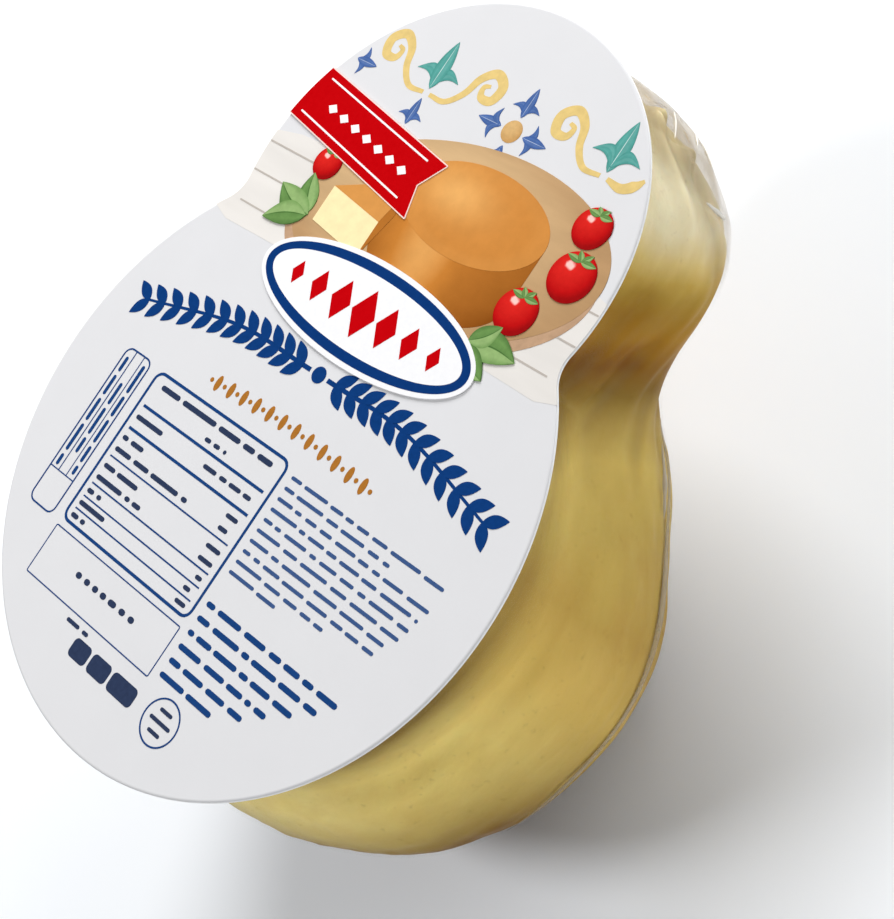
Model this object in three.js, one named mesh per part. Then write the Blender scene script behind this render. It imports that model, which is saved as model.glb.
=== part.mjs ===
// A small smoked provola, drawn into clear film under a printed label shaped like a figure of eight.
// Millimetres, +Z up. The pack lies on its back, on a small flat under the belly of the cheese,
// with the label facing up and the head of the cheese towards +Y.
import * as THREE from 'three';

// The label: a large round lobe over the belly of the cheese and a smaller one over its head.
const bellyLobeRadius = 35;
const headLobeRadius = 26;
const lobeSpacing = 31;
const neckFillet = 4;
const labelThickness = 0.5;
const labelTop = 51.5; // above what the pack lies on
const arcSteps = 24;

// The label's length is centred on Y = 0.
const bellyLobeY = (bellyLobeRadius - headLobeRadius - lobeSpacing) / 2;
const headLobeY = bellyLobeY + lobeSpacing;

// The cheese in its film is two bulbs run together. Their roundness is the exponent of a superellipse.
const belly = {
  y: bellyLobeY,
  z: labelTop - 27,
  halfWidth: 34.5,
  halfLength: 34.8,
  halfDepth: 28,
  roundness: 2.1,
};
const head = {
  y: bellyLobeY + 40.7,
  z: labelTop - 12.4,
  halfWidth: 25,
  halfLength: 16,
  halfDepth: 18,
  roundness: 2.1,
};
const neckBlend = 13; // reach of the curve that joins the two bulbs

// The groove round the neck, where the cheese was tied.
const neckY = bellyLobeY + 18;
const neckDepth = 1.8;
const neckWidth = 9;

// The film is sealed to the label just inside its edge, and leans in from there to the cheese.
const sealGap = 0.3;
const sealInset = 1.8;
const skirtLean = 0.12;
const skirtCurl = 0.0012;
const skirtBlend = 6;
const sealHeight = labelTop - labelThickness - sealGap;

// The surface is found along rays from a point inside, in rings from the seal down to the flat.
const inside = new THREE.Vector3(0, bellyLobeY + 10, labelTop - 24);
const raysAround = 96;
const rings = 36;
const farthest = 90;
const halvings = 26;

function smoothUnion(a, b, reach) {
  const share = THREE.MathUtils.clamp(0.5 + (0.5 * (b - a)) / reach, 0, 1);
  return b * (1 - share) + a * share - reach * share * (1 - share);
}

// About the distance outside a bulb, in millimetres; negative inside it.
function outsideBulb(bulb, x, y, z) {
  const across = Math.abs(x / bulb.halfWidth) ** bulb.roundness;
  const upright = Math.abs((z - bulb.z) / bulb.halfDepth) ** bulb.roundness;
  const section = (across + upright) ** (1 / bulb.roundness);
  const size = Math.cbrt(bulb.halfWidth * bulb.halfLength * bulb.halfDepth);
  return (Math.hypot(section, (y - bulb.y) / bulb.halfLength) - 1) * size;
}

function outsideLobes(x, y) {
  const fromBelly = Math.hypot(x, y - bellyLobeY) - bellyLobeRadius;
  const fromHead = Math.hypot(x, y - headLobeY) - headLobeRadius;
  return Math.min(fromBelly, fromHead);
}

function outsidePack(x, y, z) {
  const bulbs = smoothUnion(outsideBulb(belly, x, y, z), outsideBulb(head, x, y, z), neckBlend);
  const groove = neckDepth * Math.exp(-(((y - neckY) / neckWidth) ** 2));
  const below = Math.max(labelTop - z, 0);
  const leanIn = sealInset + skirtLean * below + skirtCurl * below ** 3;
  return smoothUnion(bulbs + groove, outsideLobes(x, y) + leanIn, skirtBlend);
}

// The highest value between low and high at which test is true, for a test that turns false once.
function lastTrue(low, high, test) {
  let good = low;
  let bad = high;
  for (let i = 0; i < halvings; i += 1) {
    const middle = (good + bad) / 2;
    if (test(middle)) good = middle;
    else bad = middle;
  }
  return good;
}

function surfaceAlong(azimuth, elevation) {
  const ray = new THREE.Vector3(
    Math.cos(elevation) * Math.sin(azimuth),
    Math.cos(elevation) * Math.cos(azimuth),
    Math.sin(elevation),
  );
  const reach = lastTrue(0, farthest, (t) => {
    return outsidePack(inside.x + t * ray.x, inside.y + t * ray.y, inside.z + t * ray.z) < 0;
  });
  return ray.multiplyScalar(reach).add(inside);
}

// One column of points at an azimuth, from the seal at the top to the edge of the flat below.
function packColumn(azimuth) {
  const sealReach = lastTrue(0, farthest, (t) => {
    const x = inside.x + t * Math.sin(azimuth);
    const y = inside.y + t * Math.cos(azimuth);
    return outsidePack(x, y, sealHeight) < 0;
  });
  const sealElevation = Math.atan2(sealHeight - inside.z, sealReach);
  const drop = lastTrue(0, Math.PI / 2, (angle) => surfaceAlong(azimuth, -angle).z > 0);
  const column = [];
  for (let ring = 0; ring <= rings; ring += 1) {
    const elevation = THREE.MathUtils.lerp(sealElevation, -drop, ring / rings);
    column.push(surfaceAlong(azimuth, elevation));
  }
  column[0].z = sealHeight;
  column[rings].z = 0;
  return column;
}

function buildPack() {
  const positions = [];
  for (let ray = 0; ray < raysAround; ray += 1) {
    const column = packColumn((2 * Math.PI * ray) / raysAround);
    for (const point of column) positions.push(point.x, point.y, point.z);
  }
  const sealCentre = positions.length / 3;
  positions.push(inside.x, inside.y, sealHeight);
  const flatCentre = sealCentre + 1;
  positions.push(inside.x, bellyLobeY, 0);

  const faces = [];
  for (let ray = 0; ray < raysAround; ray += 1) {
    const here = ray * (rings + 1);
    const next = ((ray + 1) % raysAround) * (rings + 1);
    faces.push(sealCentre, next, here);
    faces.push(flatCentre, here + rings, next + rings);
    for (let ring = 0; ring < rings; ring += 1) {
      faces.push(here + ring, next + ring, next + ring + 1);
      faces.push(here + ring, next + ring + 1, here + ring + 1);
    }
  }
  const geometry = new THREE.BufferGeometry();
  geometry.setAttribute('position', new THREE.Float32BufferAttribute(positions, 3));
  geometry.setIndex(faces);
  geometry.computeVertexNormals();

  const material = new THREE.MeshStandardMaterial({ color: 0xb39b58, roughness: 0.3, metalness: 0 });
  const mesh = new THREE.Mesh(geometry, material);
  mesh.name = 'cheese_in_film';
  return mesh;
}

// Two lobes joined by a fillet on each side of the neck, which touches both from outside.
function labelOutline() {
  const toBelly = bellyLobeRadius + neckFillet;
  const toHead = headLobeRadius + neckFillet;
  const up = (toBelly ** 2 - toHead ** 2 + lobeSpacing ** 2) / (2 * lobeSpacing);
  const out = Math.sqrt(toBelly ** 2 - up ** 2);
  const bellyAngle = Math.atan2(up, out);
  const headAngle = Math.atan2(up - lobeSpacing, out);
  const filletY = bellyLobeY + up;

  const outline = new THREE.Shape();
  outline.absarc(0, bellyLobeY, bellyLobeRadius, Math.PI - bellyAngle, 2 * Math.PI + bellyAngle, false);
  outline.absarc(out, filletY, neckFillet, Math.PI + bellyAngle, Math.PI + headAngle, true);
  outline.absarc(0, headLobeY, headLobeRadius, headAngle, Math.PI - headAngle, false);
  outline.absarc(-out, filletY, neckFillet, -headAngle, -bellyAngle, true);
  return outline;
}

function buildLabel() {
  const geometry = new THREE.ExtrudeGeometry(labelOutline(), {
    depth: labelThickness,
    bevelEnabled: false,
    curveSegments: arcSteps,
  });
  const material = new THREE.MeshStandardMaterial({ color: 0xe3e3e5, roughness: 0.4, metalness: 0 });
  const mesh = new THREE.Mesh(geometry, material);
  mesh.name = 'label';
  mesh.position.z = labelTop - labelThickness;
  return mesh;
}

const provolaPack = new THREE.Group();
provolaPack.add(buildPack());
provolaPack.add(buildLabel());

export default provolaPack;
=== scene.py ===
import math
import random

import bpy
import numpy as np
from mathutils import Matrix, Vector
from mathutils.geometry import tessellate_polygon


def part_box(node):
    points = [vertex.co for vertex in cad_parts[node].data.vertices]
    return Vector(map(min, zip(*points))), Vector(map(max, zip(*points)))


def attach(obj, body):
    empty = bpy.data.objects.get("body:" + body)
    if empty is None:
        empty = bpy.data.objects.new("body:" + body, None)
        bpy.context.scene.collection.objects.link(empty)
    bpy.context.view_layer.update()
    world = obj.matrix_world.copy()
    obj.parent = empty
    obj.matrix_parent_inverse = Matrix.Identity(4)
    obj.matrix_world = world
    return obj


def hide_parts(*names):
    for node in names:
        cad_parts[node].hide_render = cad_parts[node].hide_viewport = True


# A small smoked provola in clear film, under a printed label shaped like a figure of eight.
# Lengths are millimetres, measured from the middle of the label's large lobe, on top of the label:
# X across, Y towards the head of the cheese, Z up. makePiece turns them into the frame's metres.
mm = 0.001

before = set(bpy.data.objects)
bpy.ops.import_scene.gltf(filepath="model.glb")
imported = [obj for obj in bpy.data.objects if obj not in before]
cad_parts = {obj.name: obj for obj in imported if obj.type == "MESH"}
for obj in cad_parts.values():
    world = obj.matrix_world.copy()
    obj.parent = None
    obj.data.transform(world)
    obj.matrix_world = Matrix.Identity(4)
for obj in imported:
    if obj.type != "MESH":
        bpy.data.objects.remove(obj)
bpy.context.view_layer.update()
labelLow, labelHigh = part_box("label")
packLow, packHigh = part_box("cheese_in_film")

bellyLobeRadius = 35.0
headLobeRadius = 26.0
lobeSpacing = 31.0
neckFillet = 4.0
origin = np.array([0.0, labelLow[1] / mm + bellyLobeRadius, labelHigh[2] / mm])
labelBottom = (labelLow[2] - labelHigh[2]) / mm
sealZ = (packHigh[2] - labelHigh[2]) / mm
floorZ = (packLow[2] - labelHigh[2]) / mm
print("stage: frame loaded")


def tone(red, green, blue):
    shares = [value / 255 for value in (red, green, blue)]
    linear = [s / 12.92 if s <= 0.04045 else ((s + 0.055) / 1.055) ** 2.4 for s in shares]
    return (*linear, 1.0)


def startMaterial(name):
    material = bpy.data.materials.new(name)
    material.use_nodes = True
    place = material.node_tree.nodes.new("ShaderNodeTexCoord").outputs["Object"]
    return material, material.node_tree, place


def feed(tree, socket, value):
    if isinstance(value, bpy.types.NodeSocket):
        tree.links.new(value, socket)
    else:
        socket.default_value = value


def addNode(tree, kind, inputs=None, **settings):
    node = tree.nodes.new("ShaderNode" + kind)
    for key, value in settings.items():
        setattr(node, key, value)
    for key, value in (inputs or {}).items():
        feed(tree, node.inputs[key], value)
    return node


def dress(tree, sockets):
    # a number or a colour is set on the shader's own socket, and a node's output is linked to it
    shader = tree.nodes["Principled BSDF"]
    for name, value in sockets.items():
        feed(tree, shader.inputs[name], value)


def mixTones(tree, share, first, second, blend="MIX"):
    node = addNode(tree, "Mix", data_type="RGBA", blend_type=blend)
    for index, value in ((0, share), (6, first), (7, second)):
        feed(tree, node.inputs[index], value)
    return node.outputs[2]


def spread(tree, value, low, high, toLow=0.0, toHigh=1.0):
    numbers = {"Value": value, "From Min": low, "From Max": high, "To Min": toLow, "To Max": toHigh}
    return addNode(tree, "MapRange", numbers).outputs["Result"]


def uneven(tree, noise, low, high):
    # most of a noise lies from 0.3 to 0.7
    return spread(tree, noise, 0.3, 0.7, low, high)


def gradient(tree, axes, axis, low, high, toLow=0.0, toHigh=1.0):
    # along one axis, between two places in millimetres
    shift = origin["XYZ".index(axis)]
    return spread(tree, axes[axis], (shift + low) * mm, (shift + high) * mm, toLow, toHigh)


def product(tree, shares):
    total = shares[0]
    for share in shares[1:]:
        total = addNode(tree, "Math", {0: total, 1: share}, operation="MULTIPLY").outputs[0]
    return total


def noiseField(tree, vector, size, detail=3.0, roughness=0.55, stretch=None):
    if stretch is not None:
        vector = addNode(tree, "Mapping", {"Vector": vector, "Scale": stretch}).outputs["Vector"]
    numbers = {"Vector": vector, "Scale": 1 / (size * mm), "Detail": detail, "Roughness": roughness}
    return addNode(tree, "TexNoise", numbers).outputs["Fac"]


def rampTones(tree, share, stops):
    node = addNode(tree, "ValToRGB", {"Fac": share})
    elements = node.color_ramp.elements
    elements[0].position, elements[0].color = stops[0]
    elements[1].position, elements[1].color = stops[-1]
    for place, colour in stops[1:-1]:
        elements.new(place).color = colour
    return node.outputs["Color"]


def bumpFrom(tree, height, distance, under=None, strength=0.5):
    numbers = {"Height": height, "Distance": distance * mm, "Strength": strength}
    if under is not None:
        numbers["Normal"] = under
    return addNode(tree, "Bump", numbers).outputs["Normal"]


def makePiece(name, points, faces, material, replaced=None, flat=(), fields=None):
    mesh = bpy.data.meshes.new(name)
    mesh.from_pydata(((np.asarray(points) + origin) * mm).tolist(), [], faces)
    smooth = np.ones(len(faces), dtype=bool)
    smooth[list(flat)] = False
    mesh.polygons.foreach_set("use_smooth", smooth)
    for field, values in (fields or {}).items():
        mesh.attributes.new(field, "FLOAT", "POINT").data.foreach_set("value", values)
    mesh.materials.append(material)
    mesh.update()
    piece = bpy.data.objects.new(name, mesh)
    bpy.context.scene.collection.objects.link(piece)
    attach(piece, "root")
    if replaced:
        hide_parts(replaced)
    return piece


def smoothStep(low, high, value):
    share = np.clip((value - low) / (high - low), 0, 1)
    return share * share * (3 - 2 * share)


def bellAt(value, middle, reach):
    return np.exp(-(((value - middle) / reach) ** 2))


def unevenness(points, size, seed, count=18):
    # gentle random hills about this size, with no direction of their own, mostly from -1 to 1
    draw = np.random.default_rng(seed)
    headings = draw.normal(size=(count, 3))
    headings /= np.linalg.norm(headings, axis=1)[:, None]
    rates = headings * 2 * np.pi / size * draw.uniform(0.6, 1.5, size=(count, 1))
    phases = draw.uniform(0, 2 * np.pi, count)
    return np.sin(points @ rates.T + phases).sum(axis=-1) / math.sqrt(count)


def hillsAt(points, places):
    # rounded hills, the same on the left and on the right
    total = np.zeros(points.shape[:-1])
    for x, y, z, reach, height in places:
        away = np.linalg.norm(np.abs(points * (1, 0, 0)) + points * (0, 1, 1) - (x, y, z), axis=-1)
        total = total + height * bellAt(away, 0, reach)
    return total


cameraDims = {
    "lens": 73.54,
    "place": (132.24, 8.88, 144.77),
    "turn": (23.80, 30.21, 39.90),
}


def buildCamera(dims):
    data = bpy.data.cameras.new("camera")
    data.lens = dims["lens"]
    data.sensor_width = 36.0
    data.clip_start = 0.01
    camera = bpy.data.objects.new("camera", data)
    camera.location = (np.array(dims["place"]) + origin) * mm
    camera.rotation_euler = [math.radians(angle) for angle in dims["turn"]]
    bpy.context.scene.collection.objects.link(camera)
    bpy.context.scene.camera = camera


buildCamera(cameraDims)


# the outside of the pack: two bulbs run together, and the skirt of film up to the label
packDims = {
    "belly": {"y": 0.0, "z": -27.0, "halfWidth": 34.5, "halfLength": 34.8, "halfDepth": 28.0},
    "head": {"y": 40.7, "z": -12.4, "halfWidth": 25.0, "halfLength": 16.0, "halfDepth": 18.0},
    "roundness": 2.1,
    "blend": 13.0,
    "grooveY": 18.0,
    "grooveDepth": 1.8,
    "grooveWidth": 9.0,
    "sealInset": 1.8,
    "skirtLean": 0.12,
    "skirtCurl": 0.0012,
    "skirtBlend": 6.0,
    "inside": (0.0, 10.0, -24.0),
    "rows": 190,
    "columns": 480,
    # x, y, z, reach and height of places on both sides where the pack is a little fuller
    "fullPlaces": [(29.5, -16.0, -34.0, 8.0, 0.4), (24.5, -23.5, -29.0, 8.0, 0.8)],
}
inside = np.array(packDims["inside"])
farthest = 90.0
halvings = 24


def smoothUnion(a, b, reach):
    share = np.clip(0.5 + 0.5 * (b - a) / reach, 0, 1)
    return b * (1 - share) + a * share - reach * share * (1 - share)


def outsideBulb(bulb, points):
    power = packDims["roundness"]
    across = np.abs(points[..., 0] / bulb["halfWidth"]) ** power
    upright = np.abs((points[..., 2] - bulb["z"]) / bulb["halfDepth"]) ** power
    along = (points[..., 1] - bulb["y"]) / bulb["halfLength"]
    size = (bulb["halfWidth"] * bulb["halfLength"] * bulb["halfDepth"]) ** (1 / 3)
    return (np.hypot((across + upright) ** (1 / power), along) - 1) * size


def outsidePack(points):
    dims = packDims
    bulbs = smoothUnion(outsideBulb(dims["belly"], points), outsideBulb(dims["head"], points), dims["blend"])
    groove = dims["grooveDepth"] * bellAt(points[..., 1], dims["grooveY"], dims["grooveWidth"])
    fromBelly = np.hypot(points[..., 0], points[..., 1]) - bellyLobeRadius
    fromHead = np.hypot(points[..., 0], points[..., 1] - lobeSpacing) - headLobeRadius
    below = np.maximum(-points[..., 2], 0)
    lean = dims["sealInset"] + dims["skirtLean"] * below + dims["skirtCurl"] * below**3
    return smoothUnion(bulbs + groove, np.minimum(fromBelly, fromHead) + lean, dims["skirtBlend"])


def reachAlong(start, rays):
    near = np.zeros(rays.shape[:-1])
    far = np.full(rays.shape[:-1], farthest)
    for _ in range(halvings):
        middle = (near + far) / 2
        within = outsidePack(start + middle[..., None] * rays) < 0
        near = np.where(within, middle, near)
        far = np.where(within, far, middle)
    return near


def surfaceAlong(azimuth, elevation):
    level = np.cos(elevation)
    rays = np.stack([level * np.sin(azimuth), level * np.cos(azimuth), np.sin(elevation)], axis=-1)
    return inside + reachAlong(inside, rays)[..., None] * rays


def ontoPack(points):
    rays = np.asarray(points, dtype=float) - inside
    rays /= np.linalg.norm(rays, axis=-1)[..., None]
    return inside + reachAlong(inside, rays)[..., None] * rays


def outward(points):
    step = 0.05
    shifts = np.eye(3) * step
    slopes = [outsidePack(points + shift) - outsidePack(points - shift) for shift in shifts]
    normals = np.stack(slopes, axis=-1)
    return normals / np.linalg.norm(normals, axis=-1)[..., None]


def packRings(rows, columns):
    azimuth = np.linspace(0, 2 * np.pi, columns, endpoint=False)
    level = np.stack([np.sin(azimuth), np.cos(azimuth), np.zeros(columns)], axis=-1)
    sealReach = reachAlong(np.array([inside[0], inside[1], sealZ]), level)
    sealElevation = np.arctan2(sealZ - inside[2], sealReach)
    drop = np.zeros(columns)
    tooFar = np.full(columns, np.pi / 2)
    for _ in range(halvings):
        middle = (drop + tooFar) / 2
        above = surfaceAlong(azimuth, -middle)[..., 2] > floorZ
        drop = np.where(above, middle, drop)
        tooFar = np.where(above, tooFar, middle)
    share = np.linspace(0, 1, rows)[:, None]
    points = surfaceAlong(azimuth + 0 * share, (1 - share) * sealElevation - share * drop)
    points[0, :, 2] = sealZ
    points[-1, :, 2] = floorZ
    return points


capShares = [0.25, 0.5, 0.75, 0.93]


def closedSkin(rings):
    # caps the rings at the top and the bottom with smaller and smaller ones, and a point in the middle
    shares = np.array(capShares)[:, None, None]
    topMiddle = rings[0].mean(axis=0)
    bottomMiddle = rings[-1].mean(axis=0)
    top = topMiddle + shares * (rings[0] - topMiddle)
    bottom = bottomMiddle + shares[::-1] * (rings[-1] - bottomMiddle)
    every = np.concatenate([top, rings, bottom])
    rows, columns = every.shape[:2]
    index = np.arange(rows * columns).reshape(rows, columns)
    after = np.roll(index, -1, axis=1)
    quads = np.stack([index[:-1], after[:-1], after[1:], index[1:]], axis=-1).reshape(-1, 4).tolist()
    peak = rows * columns
    base = peak + 1
    fans = [(peak, int(b), int(a)) for a, b in zip(index[0], after[0])]
    fans += [(base, int(a), int(b)) for a, b in zip(index[-1], after[-1])]
    points = np.concatenate([every.reshape(-1, 3), [topMiddle, bottomMiddle]])
    return points, quads + fans


def closedField(values):
    # the same caps for a number kept at every point of the rings
    caps = [np.repeat(edge, len(capShares), axis=0) for edge in (values[:1], values[-1:])]
    every = np.concatenate([caps[0], values, caps[1]])
    return np.append(every.ravel(), [values[0].mean(), values[-1].mean()])


packSkin = packRings(packDims["rows"], packDims["columns"])
packNormals = outward(packSkin)
packSkin = packSkin + packNormals * hillsAt(packSkin, packDims["fullPlaces"])[..., None]
print("stage: pack surface found")


cheeseDims = {
    "underFilm": 0.20,
    "dents": {"depth": 0.12, "size": 17.0, "seed": 3},
    "fibres": {"depth": 0.06, "mean": 1.6, "size": 3.0, "stretch": (1, 0.22, 1), "seed": 8, "waves": 40},
    # ruffles round the tip of the head, each turned by some degrees in a millimetre
    "ruffles": {"count": 24, "depth": 0.85, "y": 51.5, "reach": 5.0, "slant": -2.2, "straightAt": 46.6,
                "phase": 14.1, "strength": 0.72, "swing": 0.28, "swings": 3, "swingFrom": 40,
                "roundness": 0.8},
    "tipHollow": {"depth": 0.9, "from": 52.0, "to": 57.0},
    "pleats": {"count": 19, "depth": 0.45, "y": 27.5, "z": -19.0, "reach": 7.0, "waver": 30},
    # x, y, z, reach and depth of places on both sides where the cheese stands back from the film,
    # or fills it where the depth is less than nothing
    "slackPlaces": [
        (19.6, 50.8, -13.4, 3.6, 2.4),
        (14.7, 53.5, -9.6, 1.5, 2.3),
        (12.0, 54.3, -2.8, 2.2, 1.4),
        (24.3, 45.0, -15.8, 3.2, 0.8),
        (5.0, 50.0, -25.0, 10.0, 0.6),
        (14.0, 53.2, -5.4, 1.5, -0.7),
        (15.5, 52.4, -5.6, 1.1, -0.6),
        (12.2, 54.6, -8.2, 1.4, -1.0),
        (17.3, 52.1, -9.8, 1.3, -0.9),
        (15.7, 53.0, -11.9, 1.2, -1.2),
        (15.7, 52.0, -4.6, 0.9, 0.6),
    ],
    "offFloor": 0.45,
    "offLabel": 0.35,
}


def headAngle(points):
    return np.degrees(np.arctan2(points[..., 2] - packDims["head"]["z"], points[..., 0]))


def between(degrees):
    # 0 on the crests of folds, 1 midway between them
    return 0.5 - 0.5 * np.cos(np.radians(degrees))


def cheeseDepth(points, dims):
    # how far the cheese lies inside the pack
    along = points[..., 1]
    angle = headAngle(points)
    dents, fibres = dims["dents"], dims["fibres"]
    depth = dims["underFilm"] + dents["depth"] * (1 + unevenness(points, dents["size"], dents["seed"]))
    threads = unevenness(points * fibres["stretch"], fibres["size"], fibres["seed"], fibres["waves"])
    depth = depth + fibres["depth"] * (fibres["mean"] + threads)

    ruffles, hollow = dims["ruffles"], dims["tipHollow"]
    turned = angle + ruffles["slant"] * (along - ruffles["straightAt"]) - ruffles["phase"]
    swing = np.sin(np.radians(ruffles["swings"] * angle + ruffles["swingFrom"]))
    strength = ruffles["strength"] + ruffles["swing"] * swing
    atTip = bellAt(along, ruffles["y"], ruffles["reach"]) * strength
    depth = depth + ruffles["depth"] * atTip * between(ruffles["count"] * turned) ** ruffles["roundness"]
    depth = depth + hollow["depth"] * smoothStep(hollow["from"], hollow["to"], along)

    pleats = dims["pleats"]
    neckAngle = np.degrees(np.arctan2(points[..., 2] - pleats["z"], points[..., 0]))
    pinch = between(pleats["count"] * neckAngle + pleats["waver"] * np.sin(np.radians(2 * neckAngle)))
    depth = depth + pleats["depth"] * bellAt(along, pleats["y"], pleats["reach"]) * pinch**2
    return depth + hillsAt(points, dims["slackPlaces"])


rindDims = {
    # noises: size, detail, roughness and stretch
    "streaks": (3.4, 5, 0.62, (1, 0.25, 1)),
    "clouds": (11.0, 3, 0.5),
    "specks": (0.9, 2, 0.6),
    # tones along the cheese, from the tail of the belly to the ruffled tip of the head
    # partly the rind's own smoked colour and partly painted light: a painted highlight on the tail, painted
    # shade round the neck's crease
    "ends": (-35, 56),
    "tones": [
        (0.00, tone(222, 207, 140)),
        (0.16, tone(255, 229, 136)),
        (0.27, tone(255, 229, 136)),
        (0.36, tone(240, 206, 114)),
        (0.45, tone(203, 169, 88)),
        (0.52, tone(206, 180, 98)),
        (0.58, tone(224, 198, 110)),
        (0.625, tone(186, 159, 88)),
        (0.66, tone(134, 103, 44)),
        (0.70, tone(129, 80, 8)),
        (0.75, tone(164, 112, 6)),
        (0.785, tone(156, 108, 8)),
        (0.815, tone(168, 132, 46)),
        (0.837, tone(200, 166, 82)),
        (0.86, tone(234, 210, 142)),
        (0.89, tone(254, 244, 206)),
        (0.94, tone(255, 248, 212)),
        (1.00, tone(240, 228, 184)),
    ],
    "waver": 0.06,
    # gradients: an axis, where they start and end, and their values there
    "lean": ("Z", -25, -5, -0.06, 0.04),
    "leanFrom": ("Y", 6, 18),
    "streakTone": tone(236, 225, 210),
    "streakRange": (0.32, 0.70),
    "streakShare": 0.55,
    "cloudTone": tone(216, 186, 88),
    "cloudRange": (0.35, 0.68),
    "cloudShares": [("Y", 38, 47, 0.26, 0.08), ("Y", -24, -4, 0.3, 1.0)],
    "speckTone": tone(140, 104, 46),
    "speckRange": (0.62, 0.80, 0.0, 0.22),
    # painted shade: darker tones low on the sides, underneath and close to the label, where shade falls
    "shades": [
        (tone(112, 74, 2), [("Z", -31.5, -18.5, 0.95, 0.0), ("Y", -18, -2, 1.0, 0.26)]),
        (tone(92, 62, 10), [("Z", -45.5, -33.5, 0.7, 0.0)]),
        (tone(100, 72, 22), [("Z", -14, -7, 0.0, 0.88), ("Y", -8, 10, 1.0, 0.42), ("Y", 21, 29, 1.0, 0.35)]),
    ],
    "ridges": 0.25,
    "grain": 0.04,
    "roughness": (0.34, 0.50),
    "sockets": {
        "Subsurface Weight": 0.20,
        "Subsurface Radius": (1.0, 0.55, 0.25),
        "Subsurface Scale": 2.0 * mm,
        "Specular IOR Level": 0.02,
        "Coat Weight": 0.06,
        "Coat Roughness": 0.30,
    },
}


def cheeseMaterial(dims):
    material, tree, place = startMaterial("smoked cheese rind")
    axes = addNode(tree, "SeparateXYZ", {"Vector": place}).outputs
    streaks, clouds, specks = [noiseField(tree, place, *dims[n]) for n in ("streaks", "clouds", "specks")]

    along = gradient(tree, axes, "Y", *dims["ends"])
    waver = addNode(tree, "Math", {0: clouds, 1: -0.5}, operation="ADD").outputs[0]
    lean, leanFrom = [gradient(tree, axes, *dims[name]) for name in ("lean", "leanFrom")]
    for first, second in ((waver, dims["waver"]), (lean, leanFrom)):
        shifted = addNode(tree, "Math", {0: first, 1: second, 2: along}, operation="MULTIPLY_ADD")
        along = shifted.outputs[0]
    body = rampTones(tree, along, dims["tones"])

    streaked = mixTones(tree, spread(tree, streaks, *dims["streakRange"]), dims["streakTone"], (1.0,) * 4)
    body = mixTones(tree, dims["streakShare"], body, streaked, "MULTIPLY")
    cloudShares = [gradient(tree, axes, *values) for values in dims["cloudShares"]]
    cloudShare = product(tree, [spread(tree, clouds, *dims["cloudRange"]), *cloudShares])
    body = mixTones(tree, cloudShare, body, dims["cloudTone"])
    body = mixTones(tree, spread(tree, specks, *dims["speckRange"]), body, dims["speckTone"])
    # the painted shade low on the sides, underneath and beside the label
    for shade, gradients in dims["shades"]:
        share = product(tree, [gradient(tree, axes, *values) for values in gradients])
        body = mixTones(tree, share, body, shade)

    ridges = bumpFrom(tree, streaks, dims["ridges"])
    grain = bumpFrom(tree, specks, dims["grain"], ridges)
    roughness = uneven(tree, streaks, *dims["roughness"])
    dress(tree, {"Base Color": body, "Roughness": roughness, "Normal": grain, **dims["sockets"]})
    return material


cheeseInset = cheeseDepth(packSkin, cheeseDims)
cheeseSkin = packSkin - packNormals * cheeseInset[..., None]
lowest, highest = floorZ + cheeseDims["offFloor"], sealZ - cheeseDims["offLabel"]
cheeseSkin[..., 2] = np.clip(cheeseSkin[..., 2], lowest, highest)
cheesePoints, cheeseFaces = closedSkin(cheeseSkin)
rind = cheeseMaterial(rindDims)
makePiece("cheese", cheesePoints, cheeseFaces, rind, "cheese_in_film")
print("stage: cheese built")


filmDims = {
    "inset": 0.03,
    "pull": {"depth": 0.03, "size": 5.0, "stretch": (1, 0.5, 1), "seed": 21},
    # the film sags where the cheese stands back from it
    "sag": {"ridges": 13, "waver": 25, "roundness": 0.6, "depth": 0.25, "from": 0.9, "to": 2.2},
    "least": 0.12,  # between the cheese and the film
    # the film is clear where it clings, and milky where it stands off
    "tightCover": 0.015,
    "looseCover": 0.62,
    "coverGaps": (0.45, 1.7),
    # x, y, z, reach and height of places on both sides where the film stands further out
    "bulges": [
        (14.5, 53.5, -9.5, 7.0, 0.85),
    ],
    "tones": (tone(132, 112, 74), tone(170, 149, 110)),
    # the paler tone of the folds and the seal; on the folds it is partly whiter doubled film and partly a
    # painted highlight along the crease
    "paleTone": tone(246, 243, 236),
    "crinkle": (2.6, 4, 0.6),
    "crinkleDepth": 0.12,
    "patches": (7.0, 3, 0.5),
    "patchiness": (0.75, 1.25),
    "roughness": (0.10, 0.22),
    "sockets": {"Specular IOR Level": 0.14, "IOR": 1.5},
}


def filmDepth(points, cheeseInset, dims):
    angle = headAngle(points)
    sag, pull = dims["sag"], dims["pull"]
    loose = smoothStep(sag["from"], sag["to"], cheeseInset)
    turn = sag["ridges"] * angle / 2 + sag["waver"] * np.sin(np.radians(angle * 2))
    hang = np.abs(np.sin(np.radians(turn))) ** sag["roundness"]
    pulled = unevenness(points * pull["stretch"], pull["size"], pull["seed"])
    depth = dims["inset"] + pull["depth"] * (1 + pulled) + sag["depth"] * loose * hang
    return np.minimum(depth - hillsAt(points, dims["bulges"]), cheeseInset - dims["least"])


def filmMaterial(dims):
    material, tree, place = startMaterial("clear shrunk film")
    cover, pale = [addNode(tree, "Attribute", attribute_name=field).outputs["Fac"]
                   for field in ("cover", "pale")]
    crinkle, patches = [noiseField(tree, place, *dims[name]) for name in ("crinkle", "patches")]
    tint = mixTones(tree, patches, *dims["tones"])
    dress(tree, {
        "Base Color": mixTones(tree, pale, tint, dims["paleTone"]),
        "Alpha": product(tree, [cover, uneven(tree, patches, *dims["patchiness"])]),
        "Normal": bumpFrom(tree, crinkle, dims["crinkleDepth"]),
        "Roughness": uneven(tree, crinkle, *dims["roughness"]),
        **dims["sockets"],
    })
    return material


def makeFilm(name, points, faces, cover, pale, replaced=None):
    fields = {"cover": cover, "pale": pale}
    makePiece(name, points, faces, clearFilm, replaced, fields=fields)


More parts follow.
